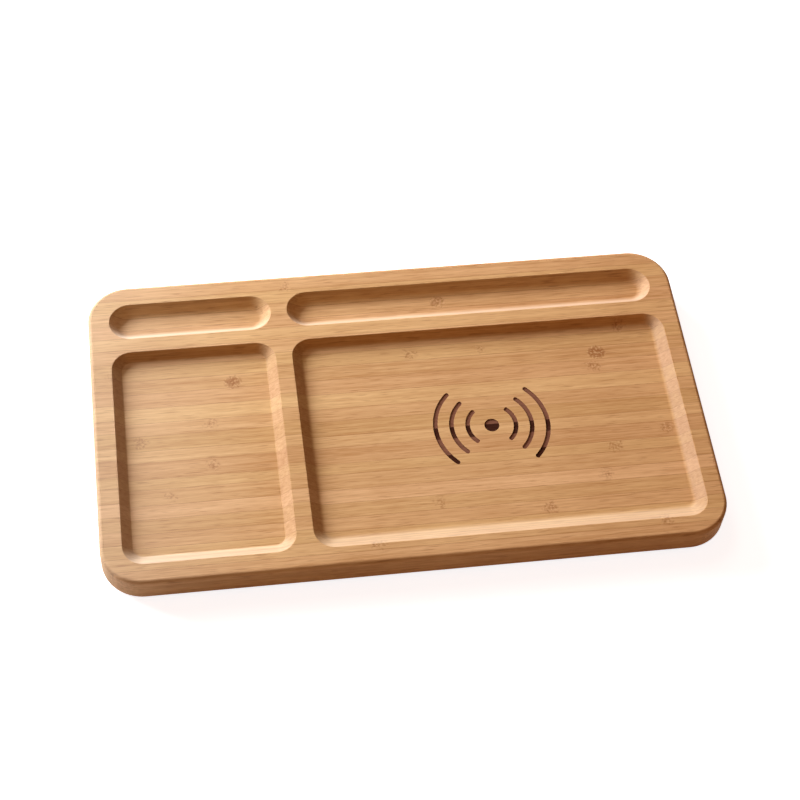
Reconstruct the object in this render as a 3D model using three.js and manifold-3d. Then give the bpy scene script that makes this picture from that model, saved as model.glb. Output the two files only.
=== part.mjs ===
// Desk organizer tray of side-pressed bamboo, with a wireless charger let into its underside.
// Millimetres, +Z up. The origin lies on the desk under the middle of the tray, the back edge is at +Y.

import * as THREE from 'three';
import { mergeVertices } from 'three/addons/utils/BufferGeometryUtils.js';
import Module from 'manifold-3d';

const wasm = await Module();
wasm.setup();

// Tray board
const trayWidth = 300;
const trayDepth = 171.6;
const trayThickness = 14.3;
const trayCornerRadius = 20;
const topEdgeRadius = 1.8;
const bottomEdgeRadius = 2;

// Rims and dividers between the pockets
const leftRim = 10.5;
const bayRightRim = 9.5;
const slotRightRim = 11.3;
const backRim = 11.2;
const frontRim = 10.2;
const columnDivider = 8.2;
const rowDivider = 8.3;
const leftColumnWidth = 81.3;
const slotWidth = 21.2;
const slotEndFlat = 0.2;
const pocketCornerRadius = 10;
const leastCornerRadius = 0.4;

// Pocket walls: depth, how far the wall runs in to its foot, how much more it runs in at the front
// than at the sides, and the radius at its foot
const slotWall = { depth: 4.6, run: 4.6, lean: 0, footRadius: 4 };
const compartmentWall = { depth: 4.3, run: 4.7, lean: 1.6, footRadius: 1.2 };
const bayWall = { depth: 4.3, run: 5.1, lean: 2.5, footRadius: 3.2 };

// Burnt-in charging mark on the floor of the phone bay
const markOffsetX = -1.25;
const markOffsetY = 2.85;
const markDepth = 0.4;
const markLineWidth = 2.3;
const markDotRadius = 3.7;
const markArcRadii = [12, 20, 28];
const markArcHalfAngle = 45;

// Rubber feet
const footRadius = 7;
const footHeight = 2;
const footSeatDepth = 0.8;
const footEdgeRadius = 0.7;
const footInset = 22;

// Charging coil and the pieces stacked on it
const coilCeiling = 2;
const coilWireDiameter = 0.9;
const coilPitch = 1.35;
const coilTurns = 9.65;
const coilEyeRadius = 10.5;
const coilSides = 6;
const coilStepsPerTurn = 24;
const adhesiveThickness = 0.5;
const ferriteThickness = 1.5;
const ferriteOverhang = 1.7;
const leadSlotWidth = 4.6;
const leadDrop = 1.45;
const wellClearance = 1.5;
const foamRadius = 18;
const sensorRadius = 1.7;
const sensorHeight = 0.9;

// Circuit board and its pocket
const boardWidth = 28;
const boardLength = 58;
const boardThickness = 1.2;
const boardCornerRadius = 1.5;
const boardSpace = 1.3;
const boardSideClearance = 0.4;
const componentBayWidth = 21;
const componentHeadroom = 3.75;
const padInset = 3;
const padSpacing = 7;

// Width, depth and height of each board part, its place across the board and its distance from the back end
const boardParts = [
  { name: 'controller_chip', size: [5, 5, 0.9], across: 0, fromBack: 25, finish: 'chip' },
  { name: 'sense_resistor', size: [6.3, 3.2, 0.6], across: 0, fromBack: 31.5, finish: 'chip' },
  { name: 'supply_inductor', size: [5, 5, 2.4], across: -6, fromBack: 16, finish: 'core' },
  { name: 'input_capacitor_1', size: [3.2, 1.8, 1.6], across: 5.5, fromBack: 14, finish: 'ceramic' },
  { name: 'input_capacitor_2', size: [3.2, 1.8, 1.6], across: 5.5, fromBack: 18, finish: 'ceramic' },
  { name: 'bridge_transistor_1', size: [5, 6, 1], across: -6, fromBack: 38, finish: 'chip' },
  { name: 'bridge_transistor_2', size: [5, 6, 1], across: 6, fromBack: 38, finish: 'chip' },
  { name: 'resonant_capacitor_1', size: [3.2, 2.5, 2], across: -7.5, fromBack: 46, finish: 'ceramic' },
  { name: 'resonant_capacitor_2', size: [3.2, 2.5, 2], across: -2.5, fromBack: 46, finish: 'ceramic' },
  { name: 'resonant_capacitor_3', size: [3.2, 2.5, 2], across: 2.5, fromBack: 46, finish: 'ceramic' },
  { name: 'resonant_capacitor_4', size: [3.2, 2.5, 2], across: 7.5, fromBack: 46, finish: 'ceramic' },
];

// USB-C socket and its mouth in the back edge
const usbWidth = 8.94;
const usbHeight = 3.26;
const usbLength = 7.4;
const usbWall = 0.3;
const usbBackLength = 2;
const tongueWidth = 6.7;
const tongueThickness = 0.7;
const tongueRecess = 0.7;
const usbClearance = 0.25;
const mouthWidth = 13;
const mouthHeight = 7;
const mouthDepth = 7;
const socketWeb = 1.2;

// Bottom cover and screws
const coverThickness = 1.6;
const coverMargin = 9;
const coverBackLip = 7.6;
const coverCornerRadius = 8;
const coverClearance = 0.3;
const coverScrew = { length: 8, radius: 1.5, headRadius: 2.8, headHeight: 1.3, tip: 2, inset: 5 };
const boardScrew = { length: 6, radius: 1, headRadius: 1.9, headHeight: 1.1, tip: 1.2, inset: 1.8 };
const boardScrewFromEnd = 6;
const crossWidth = 0.7;
const crossDepth = 0.7;

// Clearances
const seatGap = 0.1;
const screwFit = 0.15;
const cutOvershoot = 1;

// Facets
const cornerSteps = 4;
const edgeSteps = 4;
const roundSteps = 28;
const smallRoundSteps = 16;

// Levels above the desk
const trayBottom = footHeight;
const trayTop = trayBottom + trayThickness;
const bayFloor = trayTop - bayWall.depth;
const coverTop = trayBottom + coverThickness;
const coverSeat = coverTop + seatGap;
const boardBottom = coverTop + boardSpace;
const boardTop = boardBottom + boardThickness;
const boardSeat = boardTop + seatGap;
const boardScrewHead = boardBottom - seatGap - boardScrew.headHeight;
const componentCeiling = boardTop + componentHeadroom;
const coilWellCeiling = bayFloor - coilCeiling;
const adhesiveBottom = coilWellCeiling - seatGap - adhesiveThickness;
const coilLevel = adhesiveBottom - seatGap - coilWireDiameter / 2;
const ferriteTop = coilLevel - coilWireDiameter / 2 - seatGap;
const ferriteBottom = ferriteTop - ferriteThickness;

// Plan of the pockets
const backEdge = trayDepth / 2;
const leftColumnStart = -trayWidth / 2 + leftRim;
const leftColumnEnd = leftColumnStart + leftColumnWidth;
const rightColumnStart = leftColumnEnd + columnDivider;
const bayEnd = trayWidth / 2 - bayRightRim;
const penSlotEnd = trayWidth / 2 - slotRightRim;
const slotBack = backEdge - backRim;
const slotFront = slotBack - slotWidth;
const rowBack = slotFront - rowDivider;
const rowFront = -backEdge + frontRim;
const slotCornerRadius = slotWidth / 2 - slotEndFlat / 2;

const pockets = [
  pocket(leftColumnStart, leftColumnEnd, slotFront, slotBack, slotCornerRadius, slotWall),
  pocket(rightColumnStart, penSlotEnd, slotFront, slotBack, slotCornerRadius, slotWall),
  pocket(leftColumnStart, leftColumnEnd, rowFront, rowBack, pocketCornerRadius, compartmentWall),
  pocket(rightColumnStart, bayEnd, rowFront, rowBack, pocketCornerRadius, bayWall),
];

// Plan of the charger: the coil sits under the mark, the board runs from it to the back edge
const coilX = (rightColumnStart + bayEnd) / 2 + markOffsetX;
const coilY = (rowFront + rowBack) / 2 + markOffsetY;
const coilOuterRadius = coilEyeRadius + coilPitch * coilTurns;
const ferriteRadius = coilOuterRadius + ferriteOverhang;
const wellRadius = ferriteRadius + wellClearance;
const mouthBottom = backEdge - mouthDepth;
const boardBack = mouthBottom - socketWeb - boardSideClearance;
const boardFront = boardBack - boardLength;
const coverFront = coilY - wellRadius - coverMargin;
const coverBack = backEdge - coverBackLip;
const coverHalfWidth = wellRadius + coverMargin;
const usbBottom = boardTop + seatGap;
const usbFace = mouthBottom - seatGap;
const usbLevel = usbBottom + usbHeight / 2;

// Small helpers

function pocket(x0, x1, y0, y1, cornerRadius, wall) {
  return { x: (x0 + x1) / 2, y: (y0 + y1) / 2, width: x1 - x0, depth: y1 - y0, cornerRadius, wall };
}

function toSolid(geometry) {
  const bare = geometry.clone();
  bare.deleteAttribute('normal');
  bare.deleteAttribute('uv');
  const merged = mergeVertices(bare, 1e-4);
  const vertProperties = new Float32Array(merged.attributes.position.array);
  const triVerts = new Uint32Array(merged.index.array);
  return new wasm.Manifold(new wasm.Mesh({ numProp: 3, vertProperties, triVerts }));
}

function toGeometry(solid) {
  const { vertProperties, triVerts } = solid.getMesh();
  const geometry = new THREE.BufferGeometry();
  geometry.setAttribute('position', new THREE.BufferAttribute(vertProperties, 3));
  geometry.setIndex(new THREE.BufferAttribute(triVerts, 1));
  geometry.computeVertexNormals();
  return geometry;
}

function cut(geometry, cutters) {
  let solid = toSolid(geometry);
  for (const cutter of cutters) {
    solid = solid.subtract(toSolid(cutter));
  }
  return toGeometry(solid);
}

function join(first, second) {
  return toGeometry(toSolid(first).add(toSolid(second)));
}

// Rounded rectangle, counter-clockwise about its own centre
function roundedRectangle(width, depth, radius) {
  const x = width / 2 - radius;
  const y = depth / 2 - radius;
  const shape = new THREE.Shape();
  shape.absarc(x, -y, radius, -Math.PI / 2, 0, false);
  shape.absarc(x, y, radius, 0, Math.PI / 2, false);
  shape.absarc(-x, y, radius, Math.PI / 2, Math.PI, false);
  shape.absarc(-x, -y, radius, Math.PI, 1.5 * Math.PI, false);
  return shape;
}

// Upright prism of a shape between two levels
function prism(shape, x, y, bottom, top, steps = cornerSteps) {
  const geometry = new THREE.ExtrudeGeometry(shape, {
    depth: top - bottom,
    bevelEnabled: false,
    curveSegments: steps,
  });
  return geometry.translate(x, y, bottom);
}

function disc(radius, x, y, bottom, top, steps = roundSteps) {
  const geometry = new THREE.CylinderGeometry(radius, radius, top - bottom, steps);
  return geometry.rotateX(Math.PI / 2).translate(x, y, (bottom + top) / 2);
}

// Prism of a shape drawn in X and Z that runs along Y
function prismAlongY(shape, x, z, front, back, steps = cornerSteps) {
  const geometry = new THREE.ExtrudeGeometry(shape, {
    depth: back - front,
    bevelEnabled: false,
    curveSegments: steps,
  });
  return geometry.rotateX(Math.PI / 2).translate(x, back, z);
}

function box(width, depth, x, y, bottom, top) {
  return new THREE.BoxGeometry(width, depth, top - bottom).translate(x, y, (bottom + top) / 2);
}

// Closed body through rounded-rectangle rings, from the lowest ring to the highest
function loft(width, depth, cornerRadius, levels) {
  const outlines = levels.map(({ inset }) => {
    const radius = Math.max(cornerRadius - inset, leastCornerRadius);
    const shape = roundedRectangle(width - 2 * inset, depth - 2 * inset, radius);
    return shape.getPoints(cornerSteps);
  });
  const shifts = levels.map(({ shift }) => shift ?? 0);
  const count = outlines[0].length - 1;
  const positions = [];
  outlines.forEach((outline, level) => {
    for (const point of outline.slice(0, count)) {
      positions.push(point.x, point.y + shifts[level], levels[level].z);
    }
  });
  const indices = [];
  for (let level = 0; level + 1 < levels.length; level++) {
    for (let i = 0; i < count; i++) {
      const a = level * count + i;
      const b = level * count + (i + 1) % count;
      indices.push(a, b, b + count, a, b + count, a + count);
    }
  }
  const top = (levels.length - 1) * count;
  for (const [a, b, c] of THREE.ShapeUtils.triangulateShape(outlines[0].slice(0, count), [])) {
    indices.push(c, b, a);
    indices.push(top + a, top + b, top + c);
  }
  const geometry = new THREE.BufferGeometry();
  geometry.setAttribute('position', new THREE.Float32BufferAttribute(positions, 3));
  geometry.setIndex(indices);
  return geometry;
}

// Tray board

function boardLevels() {
  const levels = [];
  for (let i = 0; i <= edgeSteps; i++) {
    const angle = (i / edgeSteps) * Math.PI / 2;
    const inset = bottomEdgeRadius * (1 - Math.sin(angle));
    levels.push({ inset, z: trayBottom + bottomEdgeRadius * (1 - Math.cos(angle)) });
  }
  for (let i = 0; i <= edgeSteps; i++) {
    const angle = (i / edgeSteps) * Math.PI / 2;
    const inset = topEdgeRadius * (1 - Math.cos(angle));
    levels.push({ inset, z: trayTop - topEdgeRadius * (1 - Math.sin(angle)) });
  }
  return levels;
}

// A pocket's wall rises from its floor on an arc and goes on as a straight slope to the rim
function pocketLevels({ depth, run, lean, footRadius }) {
  const slope = Math.atan2(depth, run);
  const slopeLength = Math.hypot(depth, run);
  const tangent = Math.min(footRadius * Math.tan(slope / 2), slopeLength / 2);
  const radius = tangent / Math.tan(slope / 2);
  const floorInset = run + tangent;
  const levels = [];
  for (let i = 0; i <= edgeSteps; i++) {
    const turn = (i / edgeSteps) * slope;
    const inset = floorInset - radius * Math.sin(turn);
    const z = trayTop - depth + radius * (1 - Math.cos(turn));
    levels.push({ inset, z, shift: (lean * inset) / floorInset });
  }
  levels.push({ inset: 0, z: trayTop });
  levels.push({ inset: 0, z: trayTop + cutOvershoot });
  return levels;
}

function pocketCutter({ x, y, width, depth, cornerRadius, wall }) {
  return loft(width, depth, cornerRadius, pocketLevels(wall)).translate(x, y, 0);
}

// One arc of the mark as a band with round ends, opening toward +X
function arcBand(radius) {
  const half = markLineWidth / 2;
  const end = THREE.MathUtils.degToRad(markArcHalfAngle);
  const endX = radius * Math.cos(end);
  const endY = radius * Math.sin(end);
  const shape = new THREE.Shape();
  shape.absarc(0, 0, radius + half, -end, end, false);
  shape.absarc(endX, endY, half, end, end + Math.PI, false);
  shape.absarc(0, 0, radius - half, end, -end, true);
  shape.absarc(endX, -endY, half, Math.PI - end, 2 * Math.PI - end, false);
  return shape;
}

function markCutters() {
  const bottom = bayFloor - markDepth;
  const top = bayFloor + cutOvershoot;
  const cutters = [disc(markDotRadius, coilX, coilY, bottom, top)];
  for (const radius of markArcRadii) {
    for (const side of [0, Math.PI]) {
      const arc = prism(arcBand(radius), 0, 0, bottom, top, edgeSteps * 2);
      cutters.push(arc.rotateZ(side).translate(coilX, coilY, 0));
    }
  }
  return cutters;
}

// Hollows in the underside: coil well, component bay, board ledge, cover rebate and the socket's mouth
function undersideCutters() {
  const below = trayBottom - cutOvershoot;
  const bayLength = boardBack + boardSideClearance - coilY;
  const deepLength = boardFront + padInset - coilY;
  const ledgeWidth = boardWidth + 2 * boardSideClearance;
  const ledgeLength = boardLength + 2 * boardSideClearance;
  const coverWidth = 2 * (coverHalfWidth + coverClearance);
  const coverLength = coverBack - coverFront + 2 * coverClearance;
  const coverShape = roundedRectangle(coverWidth, coverLength, coverCornerRadius + coverClearance);
  const mouth = roundedRectangle(mouthWidth, mouthHeight, mouthHeight / 2 - seatGap);
  return [
    disc(wellRadius, coilX, coilY, below, coilWellCeiling),
    box(componentBayWidth, deepLength, coilX, coilY + deepLength / 2, below, coilWellCeiling),
    box(componentBayWidth, bayLength, coilX, coilY + bayLength / 2, below, componentCeiling),
    box(ledgeWidth, ledgeLength, coilX, (boardFront + boardBack) / 2, below, boardSeat),
    prism(coverShape, coilX, (coverFront + coverBack) / 2, below, coverSeat),
    prismAlongY(mouth, coilX, usbLevel, mouthBottom, backEdge + cutOvershoot, smallRoundSteps / 4),
    prismAlongY(usbOutline(-usbClearance), coilX, usbLevel, boardBack, mouthBottom + cutOvershoot),
  ];
}

function holeCutters() {
  const cutters = [];
  for (const { x, y } of coverScrewPlaces()) {
    const top = trayBottom + coverScrew.length + screwFit;
    cutters.push(disc(coverScrew.radius + screwFit, x, y, trayBottom, top, smallRoundSteps));
  }
  for (const { x, y } of boardScrewPlaces()) {
    const top = boardScrewHead + boardScrew.length + screwFit;
    cutters.push(disc(boardScrew.radius + screwFit, x, y, trayBottom, top, smallRoundSteps));
  }
  for (const { x, y } of footPlaces()) {
    const radius = footRadius + coverClearance;
    cutters.push(disc(radius, x, y, trayBottom - cutOvershoot, trayBottom + footSeatDepth + seatGap));
  }
  return cutters;
}

function trayBody() {
  const blank = loft(trayWidth, trayDepth, trayCornerRadius, boardLevels());
  return cut(blank, [
    ...pockets.map(pocketCutter),
    ...markCutters(),
    ...undersideCutters(),
    ...holeCutters(),
  ]);
}

// Places of the repeated pieces

function footPlaces() {
  const x = trayWidth / 2 - footInset;
  const y = trayDepth / 2 - footInset;
  return [
    { name: 'front_left', x: -x, y: -y },
    { name: 'front_right', x, y: -y },
    { name: 'back_left', x: -x, y },
    { name: 'back_right', x, y },
  ];
}

function coverScrewPlaces() {
  const front = coverFront + coverScrew.inset;
  const back = coverBack - coverScrew.inset;
  const places = [];
  for (const y of [front, (front + back) / 2, back]) {
    for (const side of [-1, 1]) {
      places.push({ x: coilX + side * (coverHalfWidth - coverScrew.inset), y });
    }
  }
  return places;
}

function boardScrewPlaces() {
  const places = [];
  for (const y of [boardFront + boardScrewFromEnd, boardBack - boardScrewFromEnd]) {
    for (const side of [-1, 1]) {
      places.push({ x: coilX + side * (boardWidth / 2 - boardScrew.inset), y });
    }
  }
  return places;
}

// Charging coil: both leads and a flat spiral in one unbroken wire

function coilPath() {
  const points = [];
  const startAngle = Math.PI;
  const steps = Math.round(coilTurns * coilStepsPerTurn);
  const spiral = (turn) => {
    const radius = coilEyeRadius + coilPitch * turn;
    const angle = startAngle + 2 * Math.PI * turn;
    return new THREE.Vector3(radius * Math.cos(angle), radius * Math.sin(angle), coilLevel);
  };
  const padX = padSpacing / 2;
  const padY = boardFront + padInset - coilY;
  const padTop = boardTop + seatGap;
  const bend = 1.5 * coilWireDiameter;
  const crossing = coilLevel - leadDrop;
  const leadX = -coilEyeRadius + leadSlotWidth / 2;
  const eyeEnd = spiral(0);
  const innerLead = new THREE.CatmullRomCurve3([
    new THREE.Vector3(-padX, padY, padTop),
    new THREE.Vector3(-padX, padY, padTop + bend),
    new THREE.Vector3(-padX, padY - bend, padTop + 2 * bend),
    new THREE.Vector3(leadX, ferriteRadius, crossing),
    new THREE.Vector3(leadX, coilEyeRadius, crossing),
    new THREE.Vector3(leadX, 5 * bend, crossing),
    new THREE.Vector3(leadX - bend, 2.5 * bend, coilLevel - leadDrop / 3),
    eyeEnd,
  ]);
  const coilEnd = spiral(coilTurns);
  const leaving = coilEnd.clone().sub(spiral(coilTurns - 1 / coilStepsPerTurn)).normalize();
  const outerLead = new THREE.CatmullRomCurve3([
    coilEnd,
    coilEnd.clone().addScaledVector(leaving, 5 * bend),
    new THREE.Vector3(padX, padY - bend, padTop + 2 * bend),
    new THREE.Vector3(padX, padY, padTop + bend),
    new THREE.Vector3(padX, padY, padTop),
  ]);
  points.push(...innerLead.getPoints(coilStepsPerTurn).slice(0, -1));
  for (let i = 0; i <= steps; i++) {
    points.push(spiral((coilTurns * i) / steps));
  }
  points.push(...outerLead.getPoints(coilStepsPerTurn / 2).slice(1));
  return points;
}

// Tube of a few flat sides along a list of points, its section carried along without twist
function tubeAlong(points, radius, sides) {
  const positions = [];
  const indices = [];
  const tangents = points.map((_, i) => {
    const before = points[Math.max(i - 1, 0)];
    const after = points[Math.min(i + 1, points.length - 1)];
    return after.clone().sub(before).normalize();
  });
  let across = new THREE.Vector3(1, 0, 0);
  points.forEach((point, i) => {
    across = across.clone().addScaledVector(tangents[i], -across.dot(tangents[i])).normalize();
    const up = tangents[i].clone().cross(across);
    for (let k = 0; k < sides; k++) {
      const angle = (2 * Math.PI * k) / sides;
      const offset = across.clone().multiplyScalar(Math.cos(angle)).addScaledVector(up, Math.sin(angle));
      const corner = point.clone().addScaledVector(offset, radius);
      positions.push(corner.x, corner.y, corner.z);
    }
  });
  for (let i = 0; i + 1 < points.length; i++) {
    for (let k = 0; k < sides; k++) {
      const a = i * sides + k;
      const b = i * sides + (k + 1) % sides;
      indices.push(a, b, b + sides, a, b + sides, a + sides);
    }
  }
  const last = (points.length - 1) * sides;
  for (let k = 1; k + 1 < sides; k++) {
    indices.push(0, k + 1, k);
    indices.push(last, last + k, last + k + 1);
  }
  const geometry = new THREE.BufferGeometry();
  geometry.setAttribute('position', new THREE.Float32BufferAttribute(positions, 3));
  geometry.setIndex(indices);
  return geometry;
}

// Smallest free gap between stretches of the wire that aren't neighbours along it
function leastGap(points, diameter) {
  const along = [0];
  for (let i = 1; i < points.length; i++) {
    along.push(along[i - 1] + points[i].distanceTo(points[i - 1]));
  }
  let least = Infinity;
  for (let i = 0; i < points.length; i++) {
    for (let k = i + 1; k < points.length; k++) {
      if (along[k] - along[i] > 5 * diameter) {
        least = Math.min(least, points[i].distanceTo(points[k]) - diameter);
      }
    }
  }
  return least;
}

function chargingCoil() {
  const points = coilPath();
  console.log(`coil: least gap to itself ${leastGap(points, coilWireDiameter).toFixed(2)} mm`);
  return tubeAlong(points, coilWireDiameter / 2, coilSides).translate(coilX, coilY, 0);
}

// Ferrite disc with a slot that lets the inner lead out under the turns
function ferrite() {
  const slotLength = ferriteRadius + cutOvershoot;
  const slotX = coilX - coilEyeRadius + leadSlotWidth / 2 - coilWireDiameter;
  const bottom = ferriteBottom - cutOvershoot;
  const top = ferriteTop + cutOvershoot;
  const slot = box(leadSlotWidth, slotLength, slotX, coilY + slotLength / 2, bottom, top);
  return cut(disc(ferriteRadius, coilX, coilY, ferriteBottom, ferriteTop), [slot]);
}

// Circuit board, its parts and the socket

function circuitBoard() {
  const middle = (boardFront + boardBack) / 2;
  const shape = roundedRectangle(boardWidth, boardLength, boardCornerRadius);
  const plate = prism(shape, coilX, middle, boardBottom, boardTop);
  const holes = boardScrewPlaces().map(({ x, y }) => {
    const bottom = boardBottom - cutOvershoot;
    return disc(boardScrew.radius + screwFit, x, y, bottom, boardTop + cutOvershoot, smallRoundSteps);
  });
  return cut(plate, holes);
}

function boardPart({ size, across, fromBack }) {
  const [width, depth, height] = size;
  const bottom = boardTop + seatGap;
  return box(width, depth, coilX + across, boardBack - fromBack, bottom, bottom + height);
}

function usbOutline(inset) {
  return roundedRectangle(usbWidth - 2 * inset, usbHeight - 2 * inset, usbHeight / 2 - inset - seatGap / 2);
}

function usbShell() {
  const outer = prismAlongY(usbOutline(0), coilX, usbLevel, usbFace - usbLength, usbFace);
  const front = usbFace - usbLength - cutOvershoot;
  return cut(outer, [prismAlongY(usbOutline(usbWall), coilX, usbLevel, front, usbFace + cutOvershoot)]);
}

function usbInsulator() {
  const rear = usbFace - usbLength;
  const back = prismAlongY(usbOutline(usbWall + seatGap), coilX, usbLevel, rear, rear + usbBackLength);
  const tongueBottom = usbLevel - tongueThickness / 2;
  const tongueLength = usbLength - tongueRecess;
  const middle = rear + tongueLength / 2;
  const tongue = box(tongueWidth, tongueLength, coilX, middle, tongueBottom, tongueBottom + tongueThickness);
  return join(back, tongue);
}

// Bottom cover, screws and feet

function bottomCover() {
  const shape = roundedRectangle(2 * coverHalfWidth, coverBack - coverFront, coverCornerRadius);
  const plate = prism(shape, coilX, (coverFront + coverBack) / 2, trayBottom, coverTop);
  const holes = coverScrewPlaces().flatMap(({ x, y }) => {
    const bottom = trayBottom - cutOvershoot;
    const bore = disc(coverScrew.radius + screwFit, x, y, bottom, coverTop + cutOvershoot, smallRoundSteps);
    return [bore, countersink().translate(x, y, trayBottom)];
  });
  return cut(plate, holes);
}

// Cone that the countersunk head lies in, with the screw's clearance all round
function countersink() {
  const { radius, headRadius, headHeight } = coverScrew;
  const slope = (headRadius - radius) / headHeight;
  const wide = headRadius + screwFit + slope * cutOvershoot;
  const profile = [
    new THREE.Vector2(0, -cutOvershoot),
    new THREE.Vector2(wide, -cutOvershoot),
    new THREE.Vector2(radius + screwFit, headHeight),
    new THREE.Vector2(0, headHeight),
  ];
  return new THREE.LatheGeometry(profile, smallRoundSteps).rotateX(Math.PI / 2);
}

// Screw that points up: its head's lower face is at level 0 and carries a cross recess
function screw({ length, radius, headRadius, headHeight, tip }, shoulderRadius) {
  const profile = [
    new THREE.Vector2(0, 0),
    new THREE.Vector2(headRadius, 0),
    new THREE.Vector2(shoulderRadius, headHeight),
    new THREE.Vector2(radius, headHeight),
    new THREE.Vector2(radius, length - tip),
    new THREE.Vector2(0, length),
  ].filter((point, i, all) => i === 0 || point.distanceTo(all[i - 1]) > 0);
  const blank = new THREE.LatheGeometry(profile, smallRoundSteps).rotateX(Math.PI / 2);
  const arm = 1.3 * headRadius;
  return cut(blank, [
    box(arm, crossWidth, 0, 0, -cutOvershoot, crossDepth),
    box(crossWidth, arm, 0, 0, -cutOvershoot, crossDepth),
  ]);
}

function rubberFoot() {
  const profile = [new THREE.Vector2(0, 0)];
  for (let i = 0; i <= edgeSteps; i++) {
    const angle = (i / edgeSteps) * Math.PI / 2;
    const radius = footRadius - footEdgeRadius * (1 - Math.sin(angle));
    profile.push(new THREE.Vector2(radius, footEdgeRadius * (1 - Math.cos(angle))));
  }
  profile.push(new THREE.Vector2(footRadius, footHeight + footSeatDepth));
  profile.push(new THREE.Vector2(0, footHeight + footSeatDepth));
  return new THREE.LatheGeometry(profile, roundSteps).rotateX(Math.PI / 2);
}

// Assembly

const finishes = {
  bamboo: { color: 0xd3a06c, roughness: 0.5, metalness: 0 },
  copper: { color: 0xb4652e, roughness: 0.4, metalness: 0.9 },
  ferrite: { color: 0x2b2b2d, roughness: 0.7, metalness: 0.1 },
  adhesive: { color: 0xe6dfc8, roughness: 0.6, metalness: 0 },
  foam: { color: 0x33363a, roughness: 0.95, metalness: 0 },
  bead: { color: 0x1e5a8c, roughness: 0.4, metalness: 0 },
  board: { color: 0x1f5a38, roughness: 0.5, metalness: 0 },
  chip: { color: 0x1b1b1d, roughness: 0.5, metalness: 0 },
  core: { color: 0x4a4d50, roughness: 0.6, metalness: 0.2 },
  ceramic: { color: 0xa98a63, roughness: 0.5, metalness: 0 },
  steel: { color: 0xb9bcc0, roughness: 0.35, metalness: 1 },
  blackPlastic: { color: 0x1d1e20, roughness: 0.5, metalness: 0 },
  coverPlastic: { color: 0x2c2d2f, roughness: 0.6, metalness: 0 },
  rubber: { color: 0x26272a, roughness: 0.9, metalness: 0 },
};

const tray = new THREE.Group();
const charger = new THREE.Group();
tray.add(charger);

function addPiece(group, name, geometry, finish) {
  const mesh = new THREE.Mesh(geometry, new THREE.MeshStandardMaterial(finishes[finish]));
  mesh.name = name;
  group.add(mesh);
  return mesh;
}

addPiece(tray, 'tray_body', trayBody(), 'bamboo');

const adhesive = disc(coilOuterRadius, coilX, coilY, adhesiveBottom, adhesiveBottom + adhesiveThickness);
addPiece(charger, 'coil_adhesive', adhesive, 'adhesive');
addPiece(charger, 'charging_coil', chargingCoil(), 'copper');
addPiece(charger, 'coil_ferrite', ferrite(), 'ferrite');
const sensorBottom = ferriteTop + seatGap;
const sensor = disc(sensorRadius, coilX, coilY, sensorBottom, sensorBottom + sensorHeight, smallRoundSteps);
addPiece(charger, 'temperature_sensor', sensor, 'bead');
const foam = disc(foamRadius, coilX, coilY, coverTop + seatGap, ferriteBottom - seatGap);
addPiece(charger, 'coil_foam_spacer', foam, 'foam');

addPiece(charger, 'circuit_board', circuitBoard(), 'board');
for (const part of boardParts) {
  addPiece(charger, part.name, boardPart(part), part.finish);
}
addPiece(charger, 'usb_socket_shell', usbShell(), 'steel');
addPiece(charger, 'usb_socket_insulator', usbInsulator(), 'blackPlastic');

boardScrewPlaces().forEach(({ x, y }, i) => {
  const mesh = addPiece(charger, `board_screw_${i + 1}`, screw(boardScrew, boardScrew.headRadius), 'steel');
  mesh.position.set(x, y, boardScrewHead);
});

addPiece(tray, 'bottom_cover', bottomCover(), 'coverPlastic');
coverScrewPlaces().forEach(({ x, y }, i) => {
  const mesh = addPiece(tray, `cover_screw_${i + 1}`, screw(coverScrew, coverScrew.radius), 'steel');
  mesh.position.set(x, y, trayBottom);
});

for (const { name, x, y } of footPlaces()) {
  addPiece(tray, `rubber_foot_${name}`, rubberFoot(), 'rubber').position.set(x, y, 0);
}

export default tray;
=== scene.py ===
import math

import bmesh
import bpy
from mathutils import Matrix, Vector


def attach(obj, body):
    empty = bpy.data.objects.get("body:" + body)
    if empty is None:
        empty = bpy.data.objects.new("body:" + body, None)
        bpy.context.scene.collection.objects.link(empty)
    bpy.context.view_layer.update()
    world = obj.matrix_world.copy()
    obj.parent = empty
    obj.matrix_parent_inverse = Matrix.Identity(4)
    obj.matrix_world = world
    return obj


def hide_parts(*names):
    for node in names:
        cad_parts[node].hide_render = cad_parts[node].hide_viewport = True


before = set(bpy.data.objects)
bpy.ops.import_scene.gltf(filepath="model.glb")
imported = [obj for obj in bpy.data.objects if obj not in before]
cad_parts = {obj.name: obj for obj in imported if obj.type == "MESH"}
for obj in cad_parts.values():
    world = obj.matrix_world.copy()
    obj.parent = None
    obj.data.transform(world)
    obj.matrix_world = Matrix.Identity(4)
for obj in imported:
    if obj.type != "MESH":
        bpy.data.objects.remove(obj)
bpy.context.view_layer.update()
mm = 0.001
up = Vector((0, 0, 1))
back = Vector((0, 1, 0))


def at(x, y, z):
    return Matrix.Translation((x * mm, y * mm, z * mm))


def facingBack(x, y, z):
    return at(x, y, z) @ Matrix.Rotation(-math.pi / 2, 4, "X")


def srgb(red, green, blue):
    def linear(value):
        value /= 255
        return value / 12.92 if value <= 0.04045 else ((value + 0.055) / 1.055) ** 2.4
    return (linear(red), linear(green), linear(blue), 1)


# Mesh tools

def roundCorners(bm, corners, radius, steps):
    known = set(bm.faces) - {face for vert in corners for face in vert.link_faces}
    bmesh.ops.bevel(bm, geom=corners, offset=radius * mm, offset_type="OFFSET", segments=steps,
                    profile=0.5, affect="VERTICES", clamp_overlap=False, material=-1)
    face = [face for face in bm.faces if face not in known][0]
    bmesh.ops.remove_doubles(bm, verts=face.verts, dist=1e-6)
    return [face for face in bm.faces if face not in known][0]


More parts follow.
